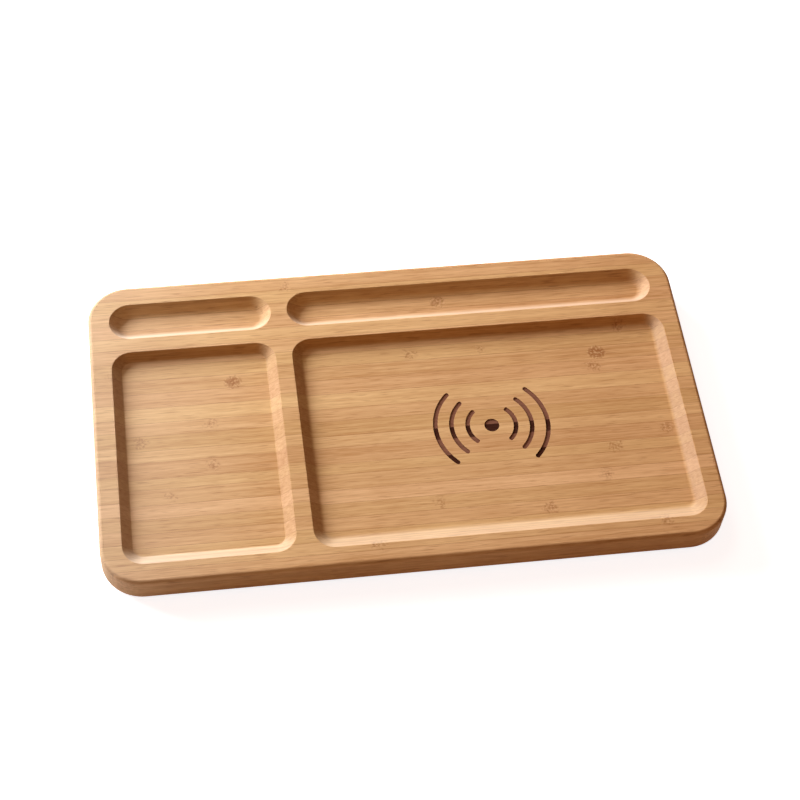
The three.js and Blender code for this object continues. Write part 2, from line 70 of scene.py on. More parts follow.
def roundedFace(bm, place, width, depth, radius, steps):
    size = Matrix.Diagonal((width * mm, depth * mm, 1, 1))
    grid = bmesh.ops.create_grid(bm, x_segments=1, y_segments=1, size=0.5, matrix=place @ size)
    return roundCorners(bm, grid["verts"], radius, steps)


def circleFace(bm, place, radius, steps):
    ring = bmesh.ops.create_circle(bm, cap_ends=True, radius=radius * mm, segments=steps, matrix=place)
    return ring["verts"][0].link_faces[0]


def fillAround(bm, face, holes, normal):
    edges = set(face.edges)
    for hole in holes:
        edges.update(edge for edge in hole.edges if len(edge.link_faces) == 1)
    bmesh.ops.delete(bm, geom=[face], context="FACES_ONLY")
    bmesh.ops.triangle_fill(bm, use_beauty=True, edges=list(edges), normal=normal)


def resize(bm, faces, x, y, z):
    verts = list({vert for face in faces for vert in face.verts})
    middle = sum((vert.co for vert in verts), Vector()) / len(verts)
    bmesh.ops.scale(bm, verts=verts, vec=(x, y, z), space=Matrix.Translation(-middle))


def push(bm, faces, shift, closed=False):
    moved = bmesh.ops.extrude_face_region(bm, geom=faces)["geom"]
    if not closed:
        bmesh.ops.delete(bm, geom=faces, context="FACES_KEEP_BOUNDARY")
    verts = [item for item in moved if isinstance(item, bmesh.types.BMVert)]
    bmesh.ops.translate(bm, verts=verts, vec=shift * mm)
    return [item for item in moved if isinstance(item, bmesh.types.BMFace)]


def grow(bm, edges, shift, scale=1.0):
    made = bmesh.ops.extrude_edge_only(bm, edges=edges)["geom"]
    verts = {item for item in made if isinstance(item, bmesh.types.BMVert)}
    middle = sum((vert.co for vert in verts), Vector()) / len(verts)
    bmesh.ops.scale(bm, verts=list(verts), vec=(scale, scale, scale), space=Matrix.Translation(-middle))
    bmesh.ops.translate(bm, verts=list(verts), vec=shift * mm)
    return [item for item in made if isinstance(item, bmesh.types.BMEdge) and set(item.verts) <= verts]


def turned(bm, edges, stations):
    for (radius, level), (nextRadius, nextLevel) in zip(stations, stations[1:]):
        edges = grow(bm, edges, up * (nextLevel - level), nextRadius / radius)
    bmesh.ops.edgeloop_fill(bm, edges=edges)


def cellFaces(bm, place, columns, rows, missing=()):
    grid = bmesh.ops.create_grid(bm, x_segments=len(columns) - 1, y_segments=len(rows) - 1, size=0.5)
    cells = list({face for vert in grid["verts"] for face in vert.link_faces})
    for vert in grid["verts"]:
        across = round((vert.co.x + 0.5) * (len(columns) - 1))
        along = round((vert.co.y + 0.5) * (len(rows) - 1))
        vert.co = place @ (Vector((columns[across], rows[along], 0)) * mm)
    middles = [place @ (Vector((x, y, 0)) * mm) for x, y in missing]

    def isMissing(face):
        return any((face.calc_center_median() - spot).length < 1e-5 for spot in middles)

    bmesh.ops.delete(bm, geom=[face for face in cells if isMissing(face)], context="FACES")
    return [face for face in cells if face.is_valid]


def step(bm, face, run, rise):
    bmesh.ops.inset_region(bm, faces=[face], thickness=run * mm, depth=rise * mm,
                           use_even_offset=True, use_boundary=True)


def roundEdges(bm, edges, radius, steps):
    return bmesh.ops.bevel(bm, geom=edges, offset=radius * mm, offset_type="OFFSET", segments=steps,
                           profile=0.5, affect="EDGES", clamp_overlap=False, material=-1)


def openEdges(bm):
    return sum(len(edge.link_faces) != 2 for edge in bm.edges)


def flatFace(bm, axis, level, sign):
    def fits(face):
        return abs(face.calc_center_median()[axis] - level * mm) < 1e-6 and face.normal[axis] * sign > 0.99
    return max((face for face in bm.faces if fits(face)), key=lambda face: face.calc_area())


def finishPiece(name, bm, materials, slotName, *nodes):
    bmesh.ops.remove_doubles(bm, verts=bm.verts, dist=1e-6)
    bmesh.ops.recalc_face_normals(bm, faces=bm.faces)
    for face in bm.faces:
        face.smooth = True
    for edge in bm.edges:
        edge.smooth = len(edge.link_faces) == 2 and edge.calc_face_angle() < math.radians(35)
    mesh = bpy.data.meshes.new(name)
    bm.to_mesh(mesh)
    bm.free()
    for material in materials:
        mesh.materials.append(material)
    piece = bpy.data.objects.new(name, mesh)
    bpy.context.scene.collection.objects.link(piece)
    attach(piece, "root")
    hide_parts(*nodes)
    return piece


# Material tools

def newMaterial(name):
    material = bpy.data.materials.new(name)
    material.use_nodes = True
    return material, material.node_tree, material.node_tree.nodes["Principled BSDF"]


def addNode(tree, kind, inputs=None, **settings):
    item = tree.nodes.new(kind)
    for key, value in settings.items():
        setattr(item, key, value)
    for key, value in (inputs or {}).items():
        if isinstance(value, bpy.types.NodeSocket):
            tree.links.new(value, item.inputs[key])
        else:
            item.inputs[key].default_value = value
    return item


def maths(tree, operation, first, second=0.5, clamp=False):
    item = addNode(tree, "ShaderNodeMath", {0: first, 1: second}, operation=operation, use_clamp=clamp)
    return item.outputs[0]


def remap(tree, value, low, high, newLow=0.0, newHigh=1.0):
    inputs = {"Value": value, "From Min": low, "From Max": high, "To Min": newLow, "To Max": newHigh}
    return addNode(tree, "ShaderNodeMapRange", inputs).outputs["Result"]


def mixColour(tree, factor, first, second, blend="MIX"):
    item = addNode(tree, "ShaderNodeMix", data_type="RGBA", blend_type=blend)
    for index, value in ((0, factor), (6, first), (7, second)):
        if isinstance(value, bpy.types.NodeSocket):
            tree.links.new(value, item.inputs[index])
        else:
            item.inputs[index].default_value = value
    return item.outputs[2]


def noiseAt(tree, spot, scale, detail=3.0, roughness=0.55):
    inputs = {"Vector": spot, "Scale": scale, "Detail": detail, "Roughness": roughness}
    return addNode(tree, "ShaderNodeTexNoise", inputs).outputs["Fac"]


def backgroundRays(tree):
    rays = addNode(tree, "ShaderNodeLightPath").outputs
    clear = maths(tree, "MAXIMUM", rays["Is Glossy Ray"], rays["Is Transmission Ray"])
    return maths(tree, "MAXIMUM", rays["Is Camera Ray"], clear)


def bumpInto(tree, shader, height, strength, distance):
    inputs = {"Height": height, "Strength": strength, "Distance": distance}
    bump = addNode(tree, "ShaderNodeBump", inputs)
    tree.links.new(bump.outputs["Normal"], shader.inputs["Normal"])


# Bamboo

bambooLook = {
    "light": (srgb(232, 185, 136), srgb(228, 187, 130)),
    "dark": srgb(184, 132, 81),
    "line": srgb(150, 98, 55),
    "fleck": srgb(144, 84, 42),
    "oil": srgb(132, 84, 48),
    # painted sheen colour, mixed in as painted highlights on lit pocket walls and the left side
    "paintedHighlightColour": srgb(205, 205, 197),
    # painted shade: a warmer, darker tint toward the right, away from the key lamp
    "paintedWarmShade": (0.98, 0.905, 0.845, 1),
    "roughness": (0.52, 0.64),
    "endRoughness": 0.1,
    "specular": 0.09,
    "endGrain": 0.38,
    # where the painted shade warms the wood toward the right and the painted sheen pales it toward the left
    # (mm, from and to), and how pale
    "paintedWarmShadeRun": (-60, 150), "leftSheenRun": (-70, -150), "leftSheenMost": 0.16,
    # length and width (mm) and detail of the fibres
    "coarse": (85, 1.7, 3.0), "fine": (12, 0.5, 2.0), "dashes": (11, 0.65, 1.0), "fibreDeep": 1.5,
    # size of a knuckle (mm)
    "knuckle": (5.5, 4.7, 30),
    "shares": {"dashes": 0.4, "glue": 0.5, "halo": 0.58, "fleck": 0.4, "spark": 0.45},
    # front to back: where each strip ends (mm), its tone, how dark a burn turns on it
    "strips": [(-79.15, 0.45, 0.5), (-72.65, 0.6, 0.4), (-65.65, 0.5, 0.6), (-57.95, 0.5, 0.3),
               (-49.65, 0.45, 0.5), (-42.25, 0.75, 0.4), (-34.15, 0.45, 0.6), (-27.55, 0.5, 1),
               (-18.25, 0.3, 0.25), (-11.9, 0.6, 0.95), (-2.9, 0.35, 0.15), (4.6, 0.5, 0.2),
               (13.35, 0.75, 0.15), (22.1, 0.45, 0.3), (29.6, 0.35, 0.5), (37.85, 0.5, 0.4),
               (45.85, 0.55, 0.5), (53.35, 0.65, 0.5), (61.35, 0.45, 0.4), (68.85, 0.5, 0.6),
               (76.85, 0.6, 0.5), (85.8, 0.5, 0.5)],
    # culm knuckles: x, y (mm) and how strongly they show
    "knuckles": [(-80.7, 25.3, 1.8), (-93, 1.6, 0.55), (-128, -6.7, 0.8), (-94, -22, 0.65),
                 (-115, -38.2, 0.45), (28, 65.3, 1.1), (9, 33.8, 0.6), (45, 33.8, 0.4), (104, 26.3, 2.6),
                 (101, 18.3, 0.7), (118, 40.8, 0.7), (103, -30.2, 0.8), (131, -21.7, 0.7), (96, -45.7, 0.5),
                 (12.5, -53.7, 0.55), (65, -61.7, 0.75), (-20, -75.7, 0.6), (118, -76.2, 0.7),
                 (-50, 78.8, 0.5), (-140, 30.8, 0.4)],
}


def stripRamp(tree, place, strips, depth):
    ramp = addNode(tree, "ShaderNodeValToRGB", {"Fac": place})
    ramp.color_ramp.interpolation = "CONSTANT"
    stops = ramp.color_ramp.elements
    start = -depth / 2
    for index, (end, tone, burn) in enumerate(strips):
        position = (start + depth / 2) / depth
        stop = stops[index] if index < 2 else stops.new(position)
        stop.position = position
        stop.color = (tone, (index * 0.382 + 0.17) % 1, burn, 1)
        start = end
    split = addNode(tree, "ShaderNodeSeparateColor", {"Color": ramp.outputs["Color"]})
    return split.outputs


def bambooGrain(tree, look, depth):
    spot = addNode(tree, "ShaderNodeTexCoord").outputs["Object"]
    axes = addNode(tree, "ShaderNodeSeparateXYZ", {"Vector": spot})
    half = depth * mm / 2
    along = remap(tree, axes.outputs["Y"], -half, half)
    tone, seed, burn = list(stripRamp(tree, along, look["strips"], depth))[:3]
    ahead = maths(tree, "ADD", along, 0.0007)
    behind = maths(tree, "SUBTRACT", along, 0.0007)
    jump = maths(tree, "SUBTRACT", stripRamp(tree, ahead, look["strips"], depth)[1],
                 stripRamp(tree, behind, look["strips"], depth)[1])
    glue = maths(tree, "GREATER_THAN", maths(tree, "ABSOLUTE", jump), 0.01)

    shift = addNode(tree, "ShaderNodeCombineXYZ", {"X": maths(tree, "MULTIPLY", seed, 7.0)})
    own = addNode(tree, "ShaderNodeVectorMath", {0: spot, 1: shift.outputs["Vector"]}, operation="ADD")

    def fibres(length, width, detail):
        scale = (1 / (length * mm), 1 / (width * mm), 1 / (look["fibreDeep"] * mm))
        stretched = addNode(tree, "ShaderNodeMapping", {"Vector": own.outputs["Vector"], "Scale": scale})
        return noiseAt(tree, stretched.outputs["Vector"], 1.0, detail)

    def sideways(run, most):
        start, end = run
        return remap(tree, axes.outputs["X"], start * mm, end * mm, 0.0, most)

    coarse = fibres(*look["coarse"])
    fine = fibres(*look["fine"])
    dashes = remap(tree, fibres(*look["dashes"]), 0.6, 0.72)
    cloud = noiseAt(tree, spot, 22.0, 2.0)
    # painted shade: share of the warmer, darker tint, growing toward the right
    paintedWarmShade = sideways(look["paintedWarmShadeRun"], 1.0)
    # painted sheen: the wood mixed paler toward the left side, nearest the key lamp
    pale = sideways(look["leftSheenRun"], look["leftSheenMost"])

    marks = None
    long, wide, deep = look["knuckle"]
    for x, y, strength in look["knuckles"]:
        scale = (1 / (long * mm), 1 / (wide * mm), 1 / (deep * mm))
        place = (-x / long, -y / wide, -0.45)
        near = addNode(tree, "ShaderNodeMapping", {"Vector": spot, "Scale": scale, "Location": place})
        ball = addNode(tree, "ShaderNodeTexGradient", {"Vector": near.outputs["Vector"]},
                       gradient_type="SPHERICAL")
        one = maths(tree, "MULTIPLY", ball.outputs["Fac"], strength)
        marks = one if marks is None else maths(tree, "MAXIMUM", marks, one)
    flecks = noiseAt(tree, spot, 750.0, 2.0, 0.6)
    ragged = remap(tree, noiseAt(tree, spot, 420.0, 1.0), 0.3, 0.7, -0.16, 0.16)
    marks = maths(tree, "ADD", marks, ragged)
    halo = remap(tree, marks, 0.15, 1.2)
    knuckle = remap(tree, marks, 0.14, 0.4)
    fleck = maths(tree, "MULTIPLY", remap(tree, flecks, 0.52, 0.6), knuckle)
    spark = maths(tree, "MULTIPLY", remap(tree, flecks, 0.46, 0.38), knuckle)
    return {"tone": tone, "seed": seed, "burn": burn, "glue": glue, "coarse": coarse, "fine": fine,
            "dashes": dashes, "cloud": cloud, "paintedWarmShade": paintedWarmShade, "pale": pale, "halo": halo, "fleck": fleck,
            "spark": spark}


def bambooMaterial(name, look, depth):
    material, tree, shader = newMaterial(name)
    grain = bambooGrain(tree, look, depth)
    value = maths(tree, "ADD", remap(tree, grain["coarse"], 0.3, 0.7, 0.02, 0.45),
                  remap(tree, grain["fine"], 0.25, 0.75, -0.08, 0.4))
    value = maths(tree, "ADD", value, remap(tree, grain["tone"], 0.0, 1.0, -0.25, 0.5))
    value = maths(tree, "ADD", value, remap(tree, grain["cloud"], 0.3, 0.7, -0.1, 0.1), clamp=True)
    light = mixColour(tree, grain["seed"], *look["light"])
    colour = mixColour(tree, value, look["dark"], light)
    # painted shade: wood multiplied warmer and darker toward the right
    colour = mixColour(tree, grain["paintedWarmShade"], colour, look["paintedWarmShade"], "MULTIPLY")
    tints = {"dashes": look["line"], "glue": look["line"], "halo": look["fleck"], "fleck": look["fleck"],
             "spark": light}
    for layer, tint in tints.items():
        share = maths(tree, "MULTIPLY", grain[layer], look["shares"][layer])
        colour = mixColour(tree, share, colour, tint)
    ends = addNode(tree, "ShaderNodeAttribute", attribute_name="endGrain").outputs["Fac"]
    colour = mixColour(tree, maths(tree, "MULTIPLY", ends, look["endGrain"]), colour, look["oil"])
    # painted highlight: lit pocket walls and the left side mixed toward the painted sheen colour
    paintedSheen = addNode(tree, "ShaderNodeAttribute", attribute_name="paintedSheen").outputs["Fac"]
    colour = mixColour(tree, maths(tree, "ADD", paintedSheen, grain["pale"]), colour, look["paintedHighlightColour"])
    tree.links.new(colour, shader.inputs["Base Color"])
    low, high = look["roughness"]
    rough = remap(tree, grain["fine"], 0.3, 0.7, low, high)
    rough = maths(tree, "ADD", rough, maths(tree, "MULTIPLY", ends, look["endRoughness"]), clamp=True)
    tree.links.new(rough, shader.inputs["Roughness"])
    shader.inputs["Specular IOR Level"].default_value = look["specular"]
    height = maths(tree, "SUBTRACT", grain["fine"], maths(tree, "MULTIPLY", grain["dashes"], 0.5))
    height = maths(tree, "SUBTRACT", height, maths(tree, "MULTIPLY", grain["glue"], 0.4))
    bumpInto(tree, shader, height, 0.35, 0.00012)
    return material


burnLook = {"pale": srgb(138, 90, 68), "dark": srgb(58, 24, 9), "roughness": 0.85, "specular": 0.08}


def burnMaterial(name, look, wood, depth):
    material, tree, shader = newMaterial(name)
    grain = bambooGrain(tree, wood, depth)
    value = maths(tree, "ADD", grain["burn"], remap(tree, grain["coarse"], 0.3, 0.7, -0.12, 0.12))
    value = maths(tree, "ADD", value, remap(tree, grain["fine"], 0.3, 0.7, -0.08, 0.08), clamp=True)
    colour = mixColour(tree, value, look["pale"], look["dark"])
    tree.links.new(colour, shader.inputs["Base Color"])
    shader.inputs["Roughness"].default_value = look["roughness"]
    shader.inputs["Specular IOR Level"].default_value = look["specular"]
    bumpInto(tree, shader, grain["fine"], 0.5, 0.0002)
    return material


def plainMaterial(name, look):
    material, tree, shader = newMaterial(name)
    spot = addNode(tree, "ShaderNodeTexCoord").outputs["Object"]
    wide = noiseAt(tree, spot, look["patch"], 4.0)
    grain = noiseAt(tree, spot, look["grain"], 3.0, 0.6)
    colour = mixColour(tree, remap(tree, wide, 0.3, 0.7), look["first"], look["second"])
    tree.links.new(colour, shader.inputs["Base Color"])
    low, high = look["roughness"]
    tree.links.new(remap(tree, grain, 0.3, 0.7, low, high), shader.inputs["Roughness"])
    shader.inputs["Metallic"].default_value = look.get("metal", 0.0)
    bumpInto(tree, shader, grain, look["bump"], 0.0001)
    return material


plainLooks = {
    "adhesive_film": {"first": srgb(230, 222, 200), "second": srgb(214, 203, 176), "patch": 90,
                      "grain": 1500, "roughness": (0.45, 0.6), "bump": 0.2},
    "copper_wire": {"first": srgb(184, 104, 52), "second": srgb(156, 80, 36), "patch": 300,
                    "grain": 2500, "roughness": (0.25, 0.4), "metal": 0.9, "bump": 0.15},
    "ferrite": {"first": srgb(46, 46, 49), "second": srgb(36, 36, 38), "patch": 200,
                "grain": 4000, "roughness": (0.6, 0.8), "bump": 0.3},
    "sensor_bead": {"first": srgb(32, 92, 142), "second": srgb(24, 74, 118), "patch": 600,
                    "grain": 3000, "roughness": (0.3, 0.45), "bump": 0.1},
    "foam": {"first": srgb(58, 61, 66), "second": srgb(44, 46, 50), "patch": 700,
             "grain": 2600, "roughness": (0.9, 1.0), "bump": 0.9},
    "circuit_board": {"first": srgb(32, 94, 58), "second": srgb(22, 72, 44), "patch": 500,
                      "grain": 3500, "roughness": (0.35, 0.5), "bump": 0.2},
    "chip_black": {"first": srgb(30, 30, 32), "second": srgb(22, 22, 24), "patch": 500,
                   "grain": 5000, "roughness": (0.5, 0.65), "bump": 0.25},
    "inductor_core": {"first": srgb(80, 83, 86), "second": srgb(62, 64, 67), "patch": 600,
                      "grain": 5000, "roughness": (0.55, 0.7), "bump": 0.3},
    "ceramic": {"first": srgb(174, 142, 102), "second": srgb(156, 124, 86), "patch": 700,
                "grain": 4500, "roughness": (0.4, 0.55), "bump": 0.15},
    "socket_steel": {"first": srgb(196, 199, 203), "second": srgb(176, 179, 184), "patch": 400,
                     "grain": 3500, "roughness": (0.22, 0.36), "metal": 1.0, "bump": 0.1},
    "socket_plastic": {"first": srgb(34, 35, 38), "second": srgb(26, 27, 29), "patch": 500,
                       "grain": 4000, "roughness": (0.45, 0.6), "bump": 0.15},
    "screw_steel": {"first": srgb(186, 188, 192), "second": srgb(160, 163, 168), "patch": 700,
                    "grain": 3000, "roughness": (0.28, 0.45), "metal": 1.0, "bump": 0.15},
    "cover_plastic": {"first": srgb(50, 51, 54), "second": srgb(42, 43, 46), "patch": 60,
                      "grain": 2400, "roughness": (0.5, 0.68), "bump": 0.45},
    "rubber": {"first": srgb(42, 43, 46), "second": srgb(34, 35, 38), "patch": 160,
               "grain": 2000, "roughness": (0.8, 0.95), "bump": 0.4},
    "gold_contact": {"first": srgb(214, 172, 92), "second": srgb(196, 152, 74), "patch": 600,
                     "grain": 4000, "roughness": (0.25, 0.35), "metal": 1.0, "bump": 0.05},
}
materials = {name: plainMaterial(name, look) for name, look in plainLooks.items()}

# Tray board

tray = {
    "width": 300, "depth": 171.6, "bottom": 2, "top": 16.3, "corner": 20, "cornerSteps": 16,
    "topRound": 1.8, "bottomRound": 2, "hold": 0.3, "rimRound": 0.5,
    "slotWall": {"depth": 4.6, "run": 4.6, "lean": 0, "foot": 4.0},
    "smallWall": {"depth": 4.3, "run": 4.7, "lean": 1.6, "foot": 1.2},
    "bayWall": {"depth": 4.3, "run": 5.1, "lean": 2.5, "foot": 3.2},
}
tray["pockets"] = [
    {"x": -98.85, "y": 64, "width": 81.3, "depth": 21.2, "corner": 10.6, "wall": tray["slotWall"]},
    {"x": 44.35, "y": 64, "width": 188.7, "depth": 21.2, "corner": 10.6, "wall": tray["slotWall"]},
    {"x": -98.85, "y": -15.25, "width": 81.3, "depth": 120.7, "corner": 10, "wall": tray["smallWall"]},
    {"x": 45.25, "y": -15.25, "width": 190.5, "depth": 120.7, "corner": 10, "wall": tray["bayWall"]},
]
mark = {"x": 44, "y": -12.4, "depth": 0.4, "line": 2.3, "dot": 3.7, "radii": (12, 20, 28), "halfAngle": 45}


def wallProfile(wall):
    slope = math.atan2(wall["depth"], wall["run"])
    rim = tray["rimRound"] * math.tan(slope / 2)
    foot = wall["foot"] * math.tan(slope / 2)
    points = [(-rim - tray["hold"], 0)]
    for index in range(5):
        turn = slope * index / 4
        points.append((-rim + tray["rimRound"] * math.sin(turn), tray["rimRound"] * (1 - math.cos(turn))))
    for index in range(8):
        turn = slope * (1 - index / 7)
        points.append((wall["run"] + foot - wall["foot"] * math.sin(turn),
                       wall["depth"] - wall["foot"] * (1 - math.cos(turn))))
    points.append((wall["run"] + foot + tray["hold"], wall["depth"]))
    return points


def leanAt(wall, run):
    full = wall["run"] + wall["foot"] * math.tan(math.atan2(wall["depth"], wall["run"]) / 2)
    return wall["lean"] * min(max(run / full, 0), 1)


def arcFace(bm, radius, side):
    half = mark["line"] / 2
    known = set(bm.verts)
    reach = math.radians(mark["halfAngle"]) + half / radius
    turn = Matrix.Rotation(side - reach, 4, "Z")
    place = at(mark["x"], mark["y"], tray["top"] - tray["bayWall"]["depth"]) @ turn
    ends = [bm.verts.new(place @ Vector(((radius + offset) * mm, 0, 0))) for offset in (-half, half)]
    edge = bm.edges.new(ends)
    swept = bmesh.ops.spin(bm, geom=ends + [edge], cent=place.translation, axis=up, angle=2 * reach,
                           steps=24, use_merge=False)
    tips = ends + [item for item in swept["geom_last"] if isinstance(item, bmesh.types.BMVert)]
    inner = [edge for edge in bm.edges if len(edge.link_faces) == 2 and edge.verts[0] not in known]
    bmesh.ops.dissolve_edges(bm, edges=inner, use_verts=False)
    return roundCorners(bm, tips, half, 5)


bm = bmesh.new()
trayHeight = tray["top"] - tray["bottom"]
blankSize = Matrix.Diagonal((tray["width"] * mm, tray["depth"] * mm, trayHeight * mm, 1))
bmesh.ops.create_cube(bm, size=1, matrix=at(0, 0, tray["bottom"] + trayHeight / 2) @ blankSize)
bm.normal_update()
upright = [edge for edge in bm.edges if abs(edge.verts[0].co.z - edge.verts[1].co.z) > mm]
roundEdges(bm, upright, tray["corner"], tray["cornerSteps"])
bm.normal_update()
roundEdges(bm, list(flatFace(bm, 2, tray["top"], 1).edges), tray["topRound"], 7)
bm.normal_update()
roundEdges(bm, list(flatFace(bm, 2, tray["bottom"], -1).edges), tray["bottomRound"], 5)
holdLevels = (tray["top"] - tray["topRound"] - tray["hold"],
              tray["bottom"] + tray["bottomRound"] + tray["hold"])
for level in holdLevels:
    bmesh.ops.bisect_plane(bm, geom=bm.verts[:] + bm.edges[:] + bm.faces[:], plane_co=(0, 0, level * mm),
                           plane_no=up)
bm.normal_update()
step(bm, flatFace(bm, 2, tray["top"], 1), tray["hold"], 0)
step(bm, flatFace(bm, 2, tray["bottom"], -1), tray["hold"], 0)
bm.normal_update()

topFace = flatFace(bm, 2, tray["top"], 1)
mouths = []
for pocket in tray["pockets"]:
    margin = -wallProfile(pocket["wall"])[0][0]
    mouths.append(roundedFace(bm, at(pocket["x"], pocket["y"], tray["top"]), pocket["width"] + 2 * margin,
                              pocket["depth"] + 2 * margin, pocket["corner"] + margin, 10))
fillAround(bm, topFace, mouths, up)
bm.normal_update()
for face, pocket in zip(mouths, tray["pockets"]):
    points = wallProfile(pocket["wall"])
    for (run, drop), (nextRun, nextDrop) in zip(points, points[1:]):
        step(bm, face, nextRun - run, drop - nextDrop)
        lean = leanAt(pocket["wall"], nextRun) - leanAt(pocket["wall"], run)
        bmesh.ops.translate(bm, verts=face.verts[:], vec=back * lean * mm)
bm.normal_update()
print("tray pockets", len(bm.faces))

bayFloor = tray["top"] - tray["bayWall"]["depth"]
figures = [circleFace(bm, at(mark["x"], mark["y"], bayFloor), mark["dot"], 40)]
for radius in mark["radii"]:
    figures.append(arcFace(bm, radius, 0))
    figures.append(arcFace(bm, radius, math.pi))
fillAround(bm, mouths[3], figures, up)
bm.normal_update()
push(bm, figures, up * -mark["depth"])
markMiddle = Vector((mark["x"], mark["y"], bayFloor))
for face in bm.faces:
    offset = face.calc_center_median() / mm - markMiddle
    if -mark["depth"] - 0.01 < offset.z < -0.01 and offset.length < mark["radii"][-1] + mark["line"]:
        face.material_index = 1
print("charging mark", len(bm.faces))

# Hollows in the underside and the socket's mouth
under = {
    "rebate": (72.055, 126.928, 8.3), "middle": (44, 15.036), "rebateTop": 3.7,
    "well": (44, -12.4, 26.728), "wellTop": 10, "bayTop": 9.85, "ledgeTop": 6.2,
    "columns": (-14.4, -10.5, 10.5, 14.4), "rows": (12.178, 18.8, 22.2, 77.6),
    "coverScrews": [(44 + side * 30.728, y) for side in (-1, 1) for y in (-43.128, 15.036, 73.2)],
    "boardScrews": [(44 + side * 12.2, y) for side in (-1, 1) for y in (25.2, 71.2)],
    "feet": [(-128, -63.8), (128, -63.8), (-128, 63.8), (128, 63.8)],
    "mouth": (13, 7, 3.4), "mouthFloor": 78.8, "aperture": (9.44, 3.76, 1.83), "socket": 7.83,
    # radius and depth of the round holes
    "seat": (7.3, 0.9), "coverHole": (1.65, 6.45), "boardHole": (1.15, 3.65),
}
bottomFace = flatFace(bm, 2, tray["bottom"], -1)
rebate = roundedFace(bm, at(*under["middle"], tray["bottom"]), *under["rebate"], 8)
radius, depth = under["seat"]
seats = [circleFace(bm, at(x, y, tray["bottom"]), radius, 48) for x, y in under["feet"]]
fillAround(bm, bottomFace, [rebate] + seats, -up)
push(bm, seats, up * depth)
rebate = push(bm, [rebate], up * (under["rebateTop"] - tray["bottom"]))[0]

radius, depth = under["coverHole"]
holes = [circleFace(bm, at(x, y, under["rebateTop"]), radius, 24) for x, y in under["coverScrews"]]
wellX, wellY, wellRadius = under["well"]
well = circleFace(bm, at(wellX, wellY, under["rebateTop"]), wellRadius, 72)
cut = bmesh.ops.bisect_plane(bm, geom=[well, *well.edges, *well.verts], plane_no=back, clear_outer=True,
                             plane_co=(0, under["rows"][0] * mm, 0))
well = [item for item in cut["geom"] if isinstance(item, bmesh.types.BMFace)][0]
lowRow = sum(under["rows"][:2]) / 2
sides = [sum(under["columns"][:2]) / 2, sum(under["columns"][2:]) / 2]
cells = cellFaces(bm, at(wellX, 0, under["rebateTop"]), under["columns"], under["rows"],
                  [(x, lowRow) for x in sides])
seam = [vert for face in [well] + cells for vert in face.verts]
bmesh.ops.remove_doubles(bm, verts=list(set(seam)), dist=0.1 * mm)
fillAround(bm, rebate, [well] + cells + holes, -up)
push(bm, holes, up * depth)
raised = push(bm, [well] + cells, up * (under["ledgeTop"] - under["rebateTop"]))


def inner(face):
    return abs(face.calc_center_median().x / mm - wellX) < under["columns"][2] - 1


def isBehind(face):
    return face.calc_center_median().y / mm > under["rows"][2]


radius, depth = under["boardHole"]
for face in [face for face in raised if not inner(face) and isBehind(face)]:
    ledgeX = face.calc_center_median().x / mm
    places = [spot for spot in under["boardScrews"] if abs(spot[0] - ledgeX) < 5]
    holes = [circleFace(bm, at(x, y, under["ledgeTop"]), radius, 20) for x, y in places]
    fillAround(bm, face, holes, -up)
    push(bm, holes, up * depth)
raised = [face for face in raised if face.is_valid and inner(face)]
raised = push(bm, raised, up * (under["bayTop"] - under["ledgeTop"]))
deep = [face for face in raised if not isBehind(face)]
push(bm, deep, up * (under["wellTop"] - under["bayTop"]))
bm.normal_update()

backEdge = tray["depth"] / 2
mouth = roundedFace(bm, facingBack(wellX, backEdge, under["socket"]), *under["mouth"], 8)
fillAround(bm, flatFace(bm, 1, backEdge, 1), [mouth], back)
mouth = push(bm, [mouth], back * (under["mouthFloor"] - backEdge))[0]
aperture = roundedFace(bm, facingBack(wellX, under["mouthFloor"], under["socket"]), *under["aperture"], 6)
fillAround(bm, mouth, [aperture], back)
channelEnd = under["rows"][-1]
aperture = push(bm, [aperture], back * (channelEnd - under["mouthFloor"]))[0]
bm.normal_update()


def endWall():
    return [face for face in bm.faces if abs(face.calc_center_median().y - channelEnd * mm) < 1e-6
            and face != aperture and inner(face) and abs(face.normal.y) > 0.9]


wall = set(endWall())
edges = {edge for face in wall for edge in face.edges}
seam = [edge for edge in edges if len(edge.link_faces) == 2 and set(edge.link_faces) <= wall]
bmesh.ops.dissolve_edges(bm, edges=seam, use_verts=False)
wall = endWall()[0]
rims = list(aperture.edges) + list(wall.edges)
bmesh.ops.delete(bm, geom=[aperture, wall], context="FACES_ONLY")
bmesh.ops.triangle_fill(bm, use_beauty=True, edges=rims, normal=back)
bm.normal_update()
print("underside", len(bm.faces), "open edges", openEdges(bm))

# Walls and sides that cut across the fibres are oilier; front and right pocket walls are painted paler, a
# painted highlight where the key lamp lights them
oilAndPaintedSheen = {"sideFrom": 145, "backFrom": 80, "slotsFrom": 50, "floor": 11, "flat": 0.995, "sideOil": 0.8,
          "slotOil": 0.5, "frontPaintedSheen": 0.4, "bayPaintedSheen": 0.16, "smallPaintedSheen": 0.06, "mostPaintedSheen": 0.24}
ends = bm.loops.layers.float.new("endGrain")
